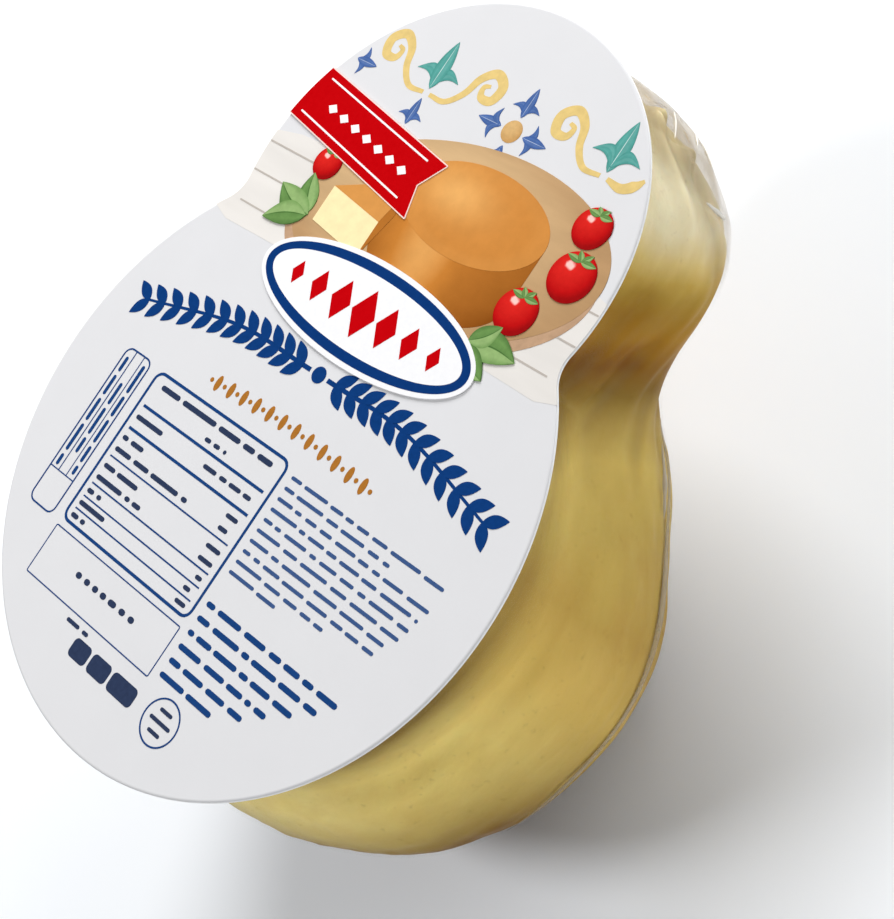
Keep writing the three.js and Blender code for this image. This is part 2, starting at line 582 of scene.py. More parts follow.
clearFilm = filmMaterial(filmDims)
filmInset = filmDepth(packSkin, cheeseInset, filmDims)
filmSkin = packSkin - packNormals * filmInset[..., None]
filmSkin[..., 2] = np.clip(filmSkin[..., 2], floorZ, sealZ)
filmSkin[-1, :, 2] = floorZ
filmGap = cheeseInset - filmInset
filmCover = filmDims["tightCover"] + filmDims["looseCover"] * smoothStep(*filmDims["coverGaps"], filmGap)
filmPoints, filmFaces = closedSkin(filmSkin)
makeFilm("film", filmPoints, filmFaces, closedField(filmCover), np.zeros(len(filmPoints)), "cheese_in_film")
print("stage: film built")


foldDims = {
    "sink": 0.25,
    # the section of a fold: shares of its width, and of its height where it is above the film
    "section": [(-0.22, 0.45), (0.0, 1.0), (0.22, 0.4)],
    "steps": 60,
    "taper": 0.8,
    "wander": (0.8, 0.2, 17),  # along a fold, its height's mean and swing, and the swing's last angle
    # the points that each fold passes, then its width, its height, its cover and its paleness
    # a fold's paleness is partly whiter doubled film and partly a painted highlight along the crease
    "folds": [
        ([(20.4, 28.9, -28.0), (22.1, 24.5, -31.4), (27.4, 17.0, -32.2), (32.6, 8.0, -32.3),
          (33.9, -1.2, -33.4), (32.4, -10.5, -33.2), (28.6, -17.6, -33.3)], 0.9, 0.28, 0.46, 0.38),
        ([(21.4, 26.6, -29.0), (24.0, 22.5, -30.0), (26.1, 19.4, -30.3)], 0.45, 0.28, 0.60, 0.6),
        ([(13.5, 53.9, -7.6), (15.6, 52.7, -6.3), (17.6, 50.9, -5.1)], 0.30, 0.08, 0.85, 1.0),
        ([(15.2, 53.3, -10.6), (16.4, 52.6, -9.9), (17.2, 52.0, -9.2)], 0.24, 0.08, 0.80, 1.0),
        ([(15.4, 53.4, -12.2), (16.8, 52.6, -12.0), (18.2, 51.6, -12.2)], 0.24, 0.08, 0.80, 1.0),
        ([(22.2, 47.7, -9.4), (22.3, 47.9, -11.8), (22.1, 48.1, -14.2)], 0.52, 0.30, 0.95, 1.0),
        ([(-20.4, 28.9, -28.0), (-22.1, 24.5, -30.4), (-27.4, 17.0, -30.6), (-32.6, 8.0, -30.0),
          (-33.9, -3.2, -30.6), (-31.0, -13.4, -31.4)], 0.8, 0.20, 0.40, 0.22),
        ([(-14.1, 53.6, -8.9), (-16.2, 52.2, -6.8), (-18.4, 50.2, -5.6)], 0.34, 0.22, 0.85, 0.8),
        ([(3.0, 52.6, -24.0), (5.2, 49.6, -27.8), (6.4, 45.4, -30.0)], 0.36, 0.24, 0.85, 0.8),
    ],
}


def smoothPath(points, count):
    # a Catmull-Rom curve through the points
    known = np.array(points, dtype=float)
    ends = np.concatenate([[2 * known[0] - known[1]], known, [2 * known[-1] - known[-2]]])
    spans = len(known) - 1
    path = []
    for place in np.linspace(0, spans - 1e-6, count):
        i = int(place)
        t = place - i
        a, b, c, d = ends[i : i + 4]
        bend = (2 * a - 5 * b + 4 * c - d) * t**2
        path.append(0.5 * (2 * b + (c - a) * t + bend + (3 * b - a - 3 * c + d) * t**3))
    return np.array(path)


def foldRidge(points, width, height, dims):
    path = ontoPack(smoothPath(points, dims["steps"]))
    normals = outward(path)
    tangents = np.gradient(path, axis=0)
    sides = np.cross(tangents, normals)
    sides /= np.linalg.norm(sides, axis=1)[:, None]
    taper = np.sin(np.pi * np.linspace(0.01, 0.99, len(path))) ** dims["taper"]
    mean, swing, lastAngle = dims["wander"]
    wander = mean + swing * np.sin(np.linspace(0, lastAngle, len(path)))
    section = [(across, up * height) for across, up in dims["section"]]
    section = [(-0.5, -dims["sink"]), *section, (0.5, -dims["sink"])]
    film = filmDims["inset"] - hillsAt(path, filmDims["bulges"] + packDims["fullPlaces"])
    rings = []
    for across, up in section:
        rise = (up * taper * wander - film)[:, None]
        rings.append(path + sides * (across * width * taper)[:, None] + normals * rise)
    return np.stack(rings, axis=1)


def tubeFaces(rows, columns, start):
    index = np.arange(rows * columns).reshape(rows, columns) + start
    after = np.roll(index, -1, axis=1)
    quads = np.stack([index[:-1], after[:-1], after[1:], index[1:]], axis=-1).reshape(-1, 4).tolist()
    return quads + [index[0][::-1].tolist(), index[-1].tolist()]


def buildFilmFolds(dims):
    points, faces, covers, pales = [], [], [], []
    for course, width, height, cover, pale in dims["folds"]:
        rings = foldRidge(course, width, height, dims)
        faces += tubeFaces(*rings.shape[:2], len(points))
        points += rings.reshape(-1, 3).tolist()
        covers += [cover] * rings[..., 0].size
        pales += [pale] * rings[..., 0].size
    makeFilm("film_folds", points, faces, covers, pales)


buildFilmFolds(foldDims)
print("stage: film folds built")


def labelOutline(inset=0.0, shares=(90, 10, 60)):
    # counterclockwise from the right end of the neck: head lobe, left fillet, belly lobe, right fillet
    toBelly = bellyLobeRadius + neckFillet
    toHead = headLobeRadius + neckFillet
    up = (toBelly**2 - toHead**2 + lobeSpacing**2) / (2 * lobeSpacing)
    out = math.sqrt(toBelly**2 - up**2)
    bellyAngle = math.atan2(up, out)
    headAngleAtNeck = math.atan2(up - lobeSpacing, out)
    bellySteps, filletSteps, headSteps = shares
    arcs = [
        (0, lobeSpacing, headLobeRadius - inset, headAngleAtNeck, math.pi - headAngleAtNeck, headSteps),
        (-out, up, neckFillet + inset, -headAngleAtNeck, -bellyAngle, filletSteps),
        (0, 0, bellyLobeRadius - inset, math.pi - bellyAngle, 2 * math.pi + bellyAngle, bellySteps),
        (out, up, neckFillet + inset, math.pi + bellyAngle, math.pi + headAngleAtNeck, filletSteps),
    ]
    outline = []
    for x, y, radius, start, end, steps in arcs:
        angles = np.linspace(start, end, steps, endpoint=False)
        outline.append(np.stack([x + radius * np.cos(angles), y + radius * np.sin(angles)], axis=1))
    return np.concatenate(outline)


labelDims = {
    # inset from the edge and height, from the top of the card to its underside
    "edge": [(0.30, 0.0), (0.16, -0.02), (0.06, -0.07), (0.0, -0.17), (0.0, -0.38), (0.05, -0.46),
             (0.14, -0.5)],
    "steps": (300, 30, 220),
    "faceTones": (tone(213, 213, 215), tone(217, 217, 219)),
    # a painted highlight: the card's sides are lighter than its face
    "edgeHighlightTone": tone(244, 244, 244),
    "pulp": (6.0, 4, 0.6),
    "fine": (0.35, 2, 0.5),
    "fineDepth": 0.006,
    "roughness": (0.42, 0.52),
    "sockets": {"Specular IOR Level": 0.08},
}


def labelMaterial(dims):
    material, tree, place = startMaterial("label card")
    pulp, fine = [noiseField(tree, place, *dims[name]) for name in ("pulp", "fine")]
    # the sides take the painted highlight tone, the face takes the face tones
    facing = addNode(tree, "NewGeometry").outputs["Normal"]
    upright = spread(tree, addNode(tree, "SeparateXYZ", {"Vector": facing}).outputs["Z"], 0.3, 0.8)
    dress(tree, {
        "Base Color": mixTones(tree, upright, dims["edgeHighlightTone"], mixTones(tree, pulp, *dims["faceTones"])),
        "Roughness": uneven(tree, fine, *dims["roughness"]),
        "Normal": bumpFrom(tree, fine, dims["fineDepth"], strength=0.4),
        **dims["sockets"],
    })
    return material


def labelRings(corners, *steps):
    # the label's outline at each inset and height, and the faces between them
    rings = []
    for inset, height in corners:
        outline = labelOutline(inset, *steps)
        rings.append(np.column_stack([outline, np.full(len(outline), height)]))
    rings = np.array(rings)
    return rings, [face[::-1] for face in tubeFaces(*rings.shape[:2], 0)[:-2]]


def buildLabel(dims):
    rings, faces = labelRings(dims["edge"], dims["steps"])
    rows, columns = rings.shape[:2]
    top = list(range(columns))
    bottom = list(range(rows * columns - 1, (rows - 1) * columns - 1, -1))
    faces += [top, bottom]
    lids = (len(faces) - 2, len(faces) - 1)
    card = labelMaterial(dims)
    makePiece("label_sheet", rings.reshape(-1, 3), faces, card, "label", lids)


sealDims = {
    # insets from the label's edge, and how much further in the outside is at its foot
    "outer": 0.35,
    "inner": 2.6,
    "flare": 0.1,
    "overlap": (0.02, 0.06),  # into the label above, and into the film below
    "cover": 0.80,
}


def buildSeal(dims):
    # the rim of film that holds the label
    intoLabel, intoFilm = dims["overlap"]
    high, low = labelBottom + intoLabel, sealZ - intoFilm
    outer, inner = dims["outer"], dims["inner"]
    corners = [(outer, high), (outer + dims["flare"], low), (inner, low), (inner, high), (outer, high)]
    rings, faces = labelRings(corners)
    points = rings[:-1].reshape(-1, 3)
    faces = [[i % len(points) for i in face] for face in faces]
    makeFilm("film_seal", points, faces, np.full(len(points), dims["cover"]), np.ones(len(points)))


buildLabel(labelDims)
buildSeal(sealDims)
print("stage: label built")


# print on the label: every ink is a thin layer of its own, drawn in the label's plane
inkStep = 0.016  # how much higher each layer stands than the one below
inkLift = 0.003  # neighbours in one layer differ by this, so that none lie in the same plane
inkNeighbours = 5
inkSink = 0.04
inkInset = 0.02  # print stops this far inside the label's edge


def orientedFaces(points, faces):
    turned = []
    for face in faces:
        x, y = points[list(face)].T
        area = np.dot(x, np.roll(y, -1)) - np.dot(y, np.roll(x, -1))
        turned.append(tuple(face) if area > 0 else tuple(face)[::-1])
    return turned


def fillShape(outline, shade=1.0):
    outline = np.asarray(outline, dtype=float)
    triangles = tessellate_polygon([[Vector((x, y, 0)) for x, y in outline]])
    return outline, orientedFaces(outline, triangles), np.full(len(outline), shade)


def gridShape(points, shade, wrap=False):
    # points is rows by columns by 2
    rows, columns = points.shape[:2]
    index = np.arange(rows * columns).reshape(rows, columns)
    after = np.roll(index, -1, axis=1)
    if not wrap:
        index, after = index[:, :-1], after[:, :-1]
    quads = np.stack([index[:-1], after[:-1], after[1:], index[1:]], axis=-1).reshape(-1, 4)
    flatPoints = points.reshape(-1, 2)
    return flatPoints, orientedFaces(flatPoints, quads.tolist()), np.asarray(shade, dtype=float).ravel()


def strokeShape(path, widths, shade=1.0, closed=False):
    path = np.asarray(path, dtype=float)
    widths = np.broadcast_to(widths, len(path))
    if closed:
        heading = np.roll(path, -1, axis=0) - np.roll(path, 1, axis=0)
    else:
        heading = np.gradient(path, axis=0)
    heading /= np.linalg.norm(heading, axis=1)[:, None]
    side = np.stack([-heading[:, 1], heading[:, 0]], axis=1) * (widths / 2)[:, None]
    rows = np.stack([path - side, path + side])
    return gridShape(rows, np.full(rows.shape[:2], shade), closed)


def barShape(start, end, width, steps=5):
    # a straight stroke with round ends
    start, end = np.array(start), np.array(end)
    cap = math.atan2(*(end - start)[::-1]) + np.linspace(-math.pi / 2, math.pi / 2, steps)
    roundEnd = width / 2 * np.stack([np.cos(cap), np.sin(cap)], axis=1)
    return fillShape(np.concatenate([end + roundEnd, start - roundEnd]))


def circlePoints(x, y, halfWidth, halfHeight=None, turn=0.0, start=0.0, end=360.0, count=48):
    halfHeight = halfHeight or halfWidth
    whole = abs(end - start) >= 360
    angles = np.radians(np.linspace(start, end, count, endpoint=not whole))
    points = np.stack([halfWidth * np.cos(angles), halfHeight * np.sin(angles)], axis=1)
    c, s = math.cos(math.radians(turn)), math.sin(math.radians(turn))
    return points @ np.array([[c, s], [-s, c]]) + (x, y)


def roundedBox(left, bottom, right, top, radius, steps=6):
    corners = [(right - radius, top - radius, 0), (left + radius, top - radius, 90),
               (left + radius, bottom + radius, 180), (right - radius, bottom + radius, 270)]
    return np.concatenate([
        circlePoints(x, y, radius, start=angle, end=angle + 90, count=steps) for x, y, angle in corners
    ])


def glowAt(across, up, place, reach):
    return np.exp(-(((across - place[0]) / reach[0]) ** 2) - ((up - place[1]) / reach[1]) ** 2)


# how dark a ball is, how much light adds, the direction to the light, and the glint's place and size
domeLight = {
    "dark": 0.18,
    "gain": 0.62,
    "toLight": (-0.35, 0.45, 0.82),
    "glint": ((-0.34, 0.36), (0.17, 0.11)),
}


def domeShape(x, y, halfWidth, halfHeight=None, turn=0.0, glint=0.0, rings=9, count=40):
    # a disc shaded like a ball that is lit from the upper left
    shares = np.sin(np.linspace(0.04, math.pi / 2, rings))
    halfHeight = halfHeight or halfWidth
    points = np.stack([circlePoints(x, y, halfWidth * s, halfHeight * s, turn, count=count) for s in shares])
    across = (points[..., 0] - x) / halfWidth
    up = (points[..., 1] - y) / halfHeight
    out = np.sqrt(np.clip(1 - across**2 - up**2, 0, 1))
    lit = sum(share * value for share, value in zip(domeLight["toLight"], (across, up, out)))
    shade = domeLight["dark"] + domeLight["gain"] * np.clip(lit, 0, 1)
    shade += glint * glowAt(across, up, *domeLight["glint"])
    centre = np.array([[x, y]])
    flat, faces, values = gridShape(points, shade, True)
    fan = [(len(flat), i, (i + 1) % count) for i in range(count)]
    flat = np.concatenate([flat, centre])
    return flat, faces + orientedFaces(flat, fan), np.append(values, shade[0].mean())


def leafShape(base, tip, width, bend=0.0, light=(0.75, 0.40), rib=0.05):
    # an almond leaf with one half lighter, and a rib
    base, tip = np.array(base, dtype=float), np.array(tip, dtype=float)
    run = tip - base
    side = np.array([-run[1], run[0]]) / np.linalg.norm(run)
    t = np.linspace(0, 1, 15)
    spine = base + t[:, None] * run + (bend * np.sin(np.pi * t))[:, None] * side
    half = width / 2 * np.sin(np.pi * t**0.85) ** 0.9 + 0.02
    across = np.array([-1.0, -0.55, -0.07, 0.0, 0.07, 0.55, 1.0])
    points = spine[:, None, :] + across[None, :, None] * half[:, None, None] * side
    tones = np.array([light[0] - 0.2, light[0], light[0], rib, light[1], light[1] + 0.1, light[1] - 0.15])
    return gridShape(points, np.broadcast_to(tones, points.shape[:2]))


# the inks, from dark to light; a flat ink has one tone
usualInk = {"middle": [], "fleck": 0.05, "fleckSize": 0.5, "stretch": (1, 1, 1), "roughness": (0.42, 0.55),
            "sockets": {"Specular IOR Level": 0.02}}
inks = {
    "pale planks": {"tones": [tone(196, 190, 184), tone(222, 218, 213)], "fleck": 0.06, "fleckSize": 5.0,
                    "stretch": (0.18, 1, 1)},
    "plank gap": {"tones": [tone(182, 174, 166)]},
    "board": {"tones": [tone(170, 132, 92), tone(208, 176, 132)], "fleck": 0.10, "fleckSize": 3.2,
              "stretch": (0.2, 1, 1)},
    "board edge": {"tones": [tone(150, 110, 74), tone(184, 150, 120)], "fleck": 0.10, "fleckSize": 1.2},
    "cheese rind": {"tones": [tone(134, 74, 20), tone(236, 180, 108)], "middle": [(0.5, tone(192, 122, 50))],
                    "fleckSize": 2.0},
    "cut cheese": {"tones": [tone(222, 190, 120), tone(248, 232, 184)], "fleckSize": 1.2},
    "tomato": {"tones": [tone(112, 6, 10), tone(248, 196, 188)],
               "middle": [(0.40, tone(182, 14, 16)), (0.82, tone(214, 38, 32))]},
    "leaf": {"tones": [tone(46, 84, 38), tone(168, 196, 132)], "middle": [(0.5, tone(104, 142, 78))],
             "fleck": 0.10, "fleckSize": 0.8},
    "red ribbon": {"tones": [tone(186, 0, 6)], "fleck": 0.03},
    "pale edge": {"tones": [tone(240, 214, 206)]},
    "white": {"tones": [tone(240, 238, 238)]},
    "cartouche white": {"tones": [tone(236, 236, 238)], "fleck": 0.02},
    "navy band": {"tones": [tone(10, 52, 112)], "fleck": 0.06},
    "red lozenge": {"tones": [tone(188, 0, 8)], "fleck": 0.03},
    "blue": {"tones": [tone(44, 72, 140), tone(206, 216, 234)], "middle": [(0.5, tone(72, 102, 158))],
             "fleck": 0.12, "fleckSize": 1.0},
    "teal": {"tones": [tone(52, 124, 116), tone(214, 230, 228)], "middle": [(0.5, tone(84, 156, 148))],
             "fleck": 0.12, "fleckSize": 1.0},
    "gold": {"tones": [tone(204, 166, 90), tone(226, 204, 138)], "fleck": 0.08, "fleckSize": 0.9},
    "ochre": {"tones": [tone(186, 140, 82), tone(214, 178, 122)], "fleck": 0.08},
    "navy": {"tones": [tone(12, 56, 116)], "fleck": 0.08},
    "brown": {"tones": [tone(166, 108, 42)], "fleck": 0.08},
    "navy rules": {"tones": [tone(22, 62, 118)], "fleck": 0.08},
    "dark dashes": {"tones": [tone(44, 56, 84)], "fleck": 0.10},
    "fine dashes": {"tones": [tone(58, 84, 130)], "fleck": 0.10},
}


def inkMaterial(name, dims):
    material, tree, place = startMaterial(name)
    shade = addNode(tree, "Attribute", attribute_name="shade").outputs["Fac"]
    grain = noiseField(tree, place, dims["fleckSize"], 3, 0.6, dims["stretch"])
    stops = [(0.0, dims["tones"][0]), *dims["middle"], (1.0, dims["tones"][-1])]
    flecks = uneven(tree, grain, 1 - dims["fleck"], 1 + dims["fleck"])
    dress(tree, {
        "Base Color": mixTones(tree, 1.0, rampTones(tree, shade, stops), flecks, "MULTIPLY"),
        "Roughness": uneven(tree, grain, *dims["roughness"]),
        **dims["sockets"],
    })
    return material


def inkPiece(name, shapes, layer, ink):
    points, faces, shades = [], [], []
    for number, (flatPoints, flatFaces, shade) in enumerate(shapes):
        top = layer * inkStep + number % inkNeighbours * inkLift
        start = len(points)
        count = len(flatPoints)
        points += [(x, y, top) for x, y in flatPoints] + [(x, y, -inkSink) for x, y in flatPoints]
        shades += list(shade) * 2
        sides = {(a, b) for face in flatFaces for a, b in zip(face, face[1:] + face[:1])}
        rim = sorted((a, b) for a, b in sides if (b, a) not in sides)
        faces += [tuple(start + i for i in face) for face in flatFaces]
        faces += [tuple(start + count + i for i in face[::-1]) for face in flatFaces]
        faces += [(start + b, start + a, start + count + a, start + count + b) for a, b in rim]
    everyFace = range(len(faces))
    called = "printed " + ink
    material = bpy.data.materials.get(called) or inkMaterial(called, {**usualInk, **inks[ink]})
    makePiece(name, points, faces, material, flat=everyFace, fields={"shade": shades})


# picture on the head lobe: a wheel and a wedge of cheese on an oval board
pictureDims = {
    "field": (20.6, 33.0),  # its bottom and its top
    # one end of the curve at its top and at its bottom, how high its middle is, and its bend
    "crest": (22, 0.5, 0.0008),
    "foot": (-25, 0.4, 0.0005),
    "plankGaps": [23.4, 27.2, 30.9],
    "gapStart": 12.0,
    "gapWidth": 0.2,
    "gapMargin": 0.2,
    # x, y, half width, half height and turn
    "board": (3.6, 30.4, 21.2, 10.6, 9.0),
    "boardEdge": 1.5,
    "wheel": (5.6, 34.0, 10.4, 5.2),
    "wheelHeight": 6.8,
    "wheelSteps": 60,
    # how light the wheel's side is, where its sheen is across it, and how it darkens
    "wheelSide": {"mean": 0.34, "sheen": 0.42, "at": -0.30, "reach": 0.42, "right": 0.16, "low": 0.22},
    "wheelTop": {"mean": 0.56, "sheen": 0.30, "sheenAt": (-3.5, 1.2), "sheenReach": (5, 2.6),
                 "edge": 0.16, "edgeAt": 0.93, "edgeReach": 0.05},
    # the corners of the wedge's top, and its height
    "wedge": [(-13.4, 29.8), (-3.6, 34.2), (-5.0, 28.6)],
    "wedgeHeight": 4.4,
    "wedgeTones": (0.8, 0.30, 0.66),  # of its cut side, its rind and its top
    # x, y and radius
    "tomatoes": [(20.6, 33.0, 2.8), (17.2, 27.4, 2.6), (19.4, 38.2, 2.3), (-16.2, 31.6, 2.0)],
    # shares of a tomato's radius: how high its calyx is, and how far its leaves reach
    "calyxFoot": 0.62,
    "calyxReach": (0.7, 0.42),
    "calyxWidth": 0.7,
    "calyx": [(-1.0, 0.2), (-0.4, 0.9), (0.5, 0.9), (1.0, 0.1)],
    # base, tip, width, bend
    "leaves": [
        ((14.0, 22.4), (20.6, 22.9), 3.4, 0.5), ((14.2, 22.2), (18.3, 19.7), 2.8, -0.4),
        ((14.2, 22.6), (17.0, 25.4), 2.4, -0.3),
        ((-14.4, 25.6), (-20.4, 27.4), 3.4, 0.5), ((-14.6, 25.4), (-20.2, 23.0), 2.9, -0.4),
        ((-14.6, 25.8), (-17.0, 30.0), 2.8, 0.4),
    ],
}


def pictureField(dims):
    bottom, top = dims["field"]
    edge = labelOutline(inkInset, (90, 14, 120))
    right = edge[(edge[:, 0] > 0) & (edge[:, 1] > bottom) & (edge[:, 1] < top)]
    right = right[np.argsort(right[:, 1])]
    left = right[::-1] * (-1, 1)
    curves = []
    for y, (end, rise, bend) in ((top, dims["crest"]), (bottom, dims["foot"])):
        curves.append([(x, y + rise - bend * x * x) for x in np.linspace(end, -end, 12)])
    return np.concatenate([right, curves[0], left, curves[1]])


def buildPicture(dims):
    inkPiece("print_planks", [fillShape(pictureField(dims))], 1, "pale planks")
    gaps = []
    for y in dims["plankGaps"]:
        reach = math.sqrt(headLobeRadius**2 - (y - lobeSpacing) ** 2) - dims["gapMargin"]
        gaps += [barShape((side * dims["gapStart"], y), (side * reach, y), dims["gapWidth"])
                 for side in (-1, 1)]
    inkPiece("print_plank_gaps", gaps, 2, "plank gap")

    x, y, *size = dims["board"]
    low = circlePoints(x, y - dims["boardEdge"], *size, count=96)
    inkPiece("print_board_edge", [fillShape(low)], 3, "board edge")
    inkPiece("print_board", [domeShape(x, y, *size, count=96)], 4, "board")

    buildWheel(dims)
    inkPiece("print_tomatoes", [domeShape(*ball, glint=0.5) for ball in dims["tomatoes"]], 9, "tomato")
    leaves = [leafShape(*leaf) for leaf in dims["leaves"]]
    foot, (out, up) = dims["calyxFoot"], dims["calyxReach"]
    for x, y, r in dims["tomatoes"]:
        for c, s in dims["calyx"]:
            tip = (x + out * r * c, y + (foot + up * s) * r)
            leaves.append(leafShape((x, y + foot * r), tip, dims["calyxWidth"]))
    inkPiece("print_leaves", leaves, 10, "leaf")


def buildWheel(dims):
    x, y, halfWidth, halfHeight = dims["wheel"]
    side, top, steps = dims["wheelSide"], dims["wheelTop"], dims["wheelSteps"]
    front = circlePoints(x, y, halfWidth, halfHeight, start=178, end=362, count=steps)
    down = np.linspace(0, 1, 7)[:, None]
    rows = np.stack([front - (0, dims["wheelHeight"] * share) for share in down[:, 0]])
    across = (rows[..., 0] - x) / halfWidth
    barrel = side["mean"] + side["sheen"] * bellAt(across, side["at"], side["reach"])
    barrel = barrel - side["right"] * np.clip(across, 0, 1) - side["low"] * down**2
    inkPiece("print_wheel_side", [gridShape(rows, barrel)], 5, "cheese rind")

    shares = np.linspace(0.04, 1.0, 8)
    rings = np.stack([circlePoints(x, y, halfWidth * s, halfHeight * s, count=steps) for s in shares])
    sheen = glowAt(rings[..., 0] - x, rings[..., 1] - y, top["sheenAt"], top["sheenReach"])
    edge = bellAt(shares, top["edgeAt"], top["edgeReach"])[:, None]
    flat, faces, shade = gridShape(rings, top["mean"] + top["sheen"] * sheen + top["edge"] * edge, True)
    faces += orientedFaces(flat, [tuple(range(steps))])
    inkPiece("print_wheel_top", [(flat, faces, shade)], 6, "cheese rind")

    tip, back, near = [np.array(corner) for corner in dims["wedge"]]
    drop = np.array([0.0, dims["wedgeHeight"]])
    sides = [("print_wedge_cut", [tip - drop, near - drop, near, tip], 7, "cut cheese"),
             ("print_wedge_side", [near - drop, back - drop, back, near], 7, "cheese rind"),
             ("print_wedge_top", [tip, near, back], 8, "cheese rind")]
    for (name, outline, layer, ink), shade in zip(sides, dims["wedgeTones"]):
        inkPiece(name, [fillShape(outline, shade)], layer, ink)


buildPicture(pictureDims)
print("stage: picture printed")


ribbonDims = {
    "upperLeft": (-23.6, 41.6),
    "lowerLeft": (-25.9, 34.6),
    "tail": [(-1.2, 37.2), (-3.3, 34.0), (-2.2, 30.3)],
    "border": 0.28,
    # shares of the ribbon's height, how far the stripes stay from its two ends, and their width
    "stripes": (0.14, 0.86),
    "stripeEnds": [(1.2, -0.2), (-2.6, 0.55)],
    "stripeWidth": 0.22,
    "lozenges": (0.2, 0.8, 7),  # the first and the last one's share of the way, and how many
    "lozenge": (0.85, 0.62, -8),
}


def buildRibbon(dims):
    edge = labelOutline(inkInset, (90, 14, 160))
    rim = edge[(edge[:, 0] < 0) & (edge[:, 1] > dims["lowerLeft"][1]) & (edge[:, 1] < dims["upperLeft"][1])]
    rim = rim[np.argsort(rim[:, 1])]
    tail = np.array(dims["tail"])
    inkPiece("print_ribbon", [fillShape(np.concatenate([rim, tail]))], 12, "red ribbon")
    path = np.concatenate([rim[-1:], tail, rim[:1]])
    edges = [barShape(a, b, dims["border"]) for a, b in zip(path[:-1], path[1:])]
    inkPiece("print_ribbon_edge", edges, 11, "pale edge")
    top, bottom = rim[-1], rim[0]
    upperTip, _, lowerTip = tail
    trim = []
    for share in dims["stripes"]:
        start = bottom + share * (top - bottom) + dims["stripeEnds"][0]
        end = lowerTip + share * (upperTip - lowerTip) + dims["stripeEnds"][1]
        trim.append(barShape(start, end, dims["stripeWidth"]))
    middle = (bottom + top) / 2
    far = (upperTip + lowerTip) / 2
    for share in np.linspace(*dims["lozenges"]):
        place = middle + share * (far - middle)
        trim.append(fillShape(circlePoints(*place, *dims["lozenge"], count=4)))
    inkPiece("print_ribbon_trim", trim, 13, "white")


cartoucheDims = {
    "place": (0.6, 19.4),
    # piece, half width, half height and ink
    "rings": [("print_cartouche_rim", 17.0, 5.9, "cartouche white"),
              ("print_cartouche_band", 16.4, 5.3, "navy band"),
              ("print_cartouche_face", 15.3, 4.2, "cartouche white")],
    "turn": -1.5,
    # lozenges on each side of the middle one, how far apart, and how they get smaller
    "lozenges": 3,
    "spacing": (3.75, -0.1),
    "largest": 2.5,
    "smaller": 0.42,
    "shape": (0.72, 1.15),
}


def buildCartouche(dims):
    x, y = dims["place"]
    for layer, (name, halfWidth, halfHeight, ink) in enumerate(dims["rings"]):
        outline = circlePoints(x, y, halfWidth, halfHeight, dims["turn"], count=120)
        inkPiece(name, [fillShape(outline)], 12 + layer, ink)
    shapes = []
    for i in range(-dims["lozenges"], dims["lozenges"] + 1):
        halves = [(dims["largest"] - dims["smaller"] * abs(i)) * share for share in dims["shape"]]
        place = [start + step * i for start, step in zip((x, y), dims["spacing"])]
        shapes.append(fillShape(circlePoints(*place, *halves, count=4)))
    inkPiece("print_lozenges", shapes, 15, "red lozenge")


buildRibbon(ribbonDims)
buildCartouche(cartoucheDims)
print("stage: ribbon and cartouche printed")


# a painted border: sprigs between scrolls, with flowers of four petals in between
borderDims = {
    "foot": 43.9,
    "sprigs": [-9.8, 16.9],
    "sprigLength": 6.0,
    "flower": (3.5, 43.5),
    "heart": 1.3,
    # the foot of each blue petal, its direction and its length
    "petals": [((3.5, 45.2), 90, 3.6), ((1.8, 43.6), 180, 3.4), ((5.2, 43.4), 0, 3.4),
               ((3.5, 41.8), -90, 3.4), ((-21.6, 43.6), 0, 3.2), ((-9.9, 39.3), 90, 3.3)],
    # shares of a sprig's length: its width, then where its side leaves start and end, their width
    # and their bend
    "width": 0.34,
    "sideStart": 0.10,
    "sideEnd": (0.28, 0.54),
    "sideWidth": 0.22,
    "sideBend": 0.19,
    # from the foot of a sprig
    "scroll": [(0.5, -0.6), (2.9, -0.6), (4.7, 1.1), (5.6, 3.3), (7.3, 4.5), (8.9, 3.4), (8.5, 1.6),
               (7.0, 1.5), (6.6, 2.6), (7.4, 3.0)],
    "scrollCutOff": [(0.5, -0.6), (2.5, -0.9), (3.9, -0.1), (4.6, 0.8)],
    "scrollWidths": {0.0: 0.5, 0.3: 1.0, 0.6: 1.3, 1.0: 0.4},
    "leafTones": (0.52, 0.42),
}


def sprigLeaves(foot, direction, length, dims):
    # an upright leaf between two that curl outward
    turn = math.radians(direction)
    ahead = np.array([math.cos(turn), math.sin(turn)])
    aside = np.array([-ahead[1], ahead[0]])
    foot = np.array(foot)
    up, out = dims["sideEnd"]
    tones = dims["leafTones"]
    leaves = []
    for side in (1, -1):
        start = foot + dims["sideStart"] * length * ahead
        end = foot + length * (up * ahead + out * side * aside)
        bend = -dims["sideBend"] * side * length
        leaves.append(leafShape(start, end, dims["sideWidth"] * length, bend, tones, rib=tones[1]))
    return leaves + [leafShape(foot, foot + length * ahead, dims["width"] * length, light=tones, rib=1.0)]


def buildBorder(dims):
    blue, teal, gold = [], [], []
    for foot, direction, length in dims["petals"]:
        blue += sprigLeaves(foot, direction, length, dims)
    widthPlaces, widths = zip(*dims["scrollWidths"].items())
    for x in dims["sprigs"]:
        teal += sprigLeaves((x, dims["foot"]), 90, dims["sprigLength"], dims)
        for side in (-1, 1):
            cutOff = side > 0 and x > dims["flower"][0]
            course = dims["scrollCutOff"] if cutOff else dims["scroll"]
            path = smoothPath([(x + side * across, dims["foot"] + up) for across, up in course], 70)
            gold.append(strokeShape(path, np.interp(np.linspace(0, 1, len(path)), widthPlaces, widths), 0.6))
    inkPiece("print_flowers", blue, 2, "blue")
    inkPiece("print_tulips", teal, 2, "teal")
    inkPiece("print_scrolls", gold, 1, "gold")
    heart = domeShape(*dims["flower"], dims["heart"], count=28, rings=5)
    inkPiece("print_flower_hearts", [heart], 2, "ochre")


buildBorder(borderDims)
print("stage: border painted")


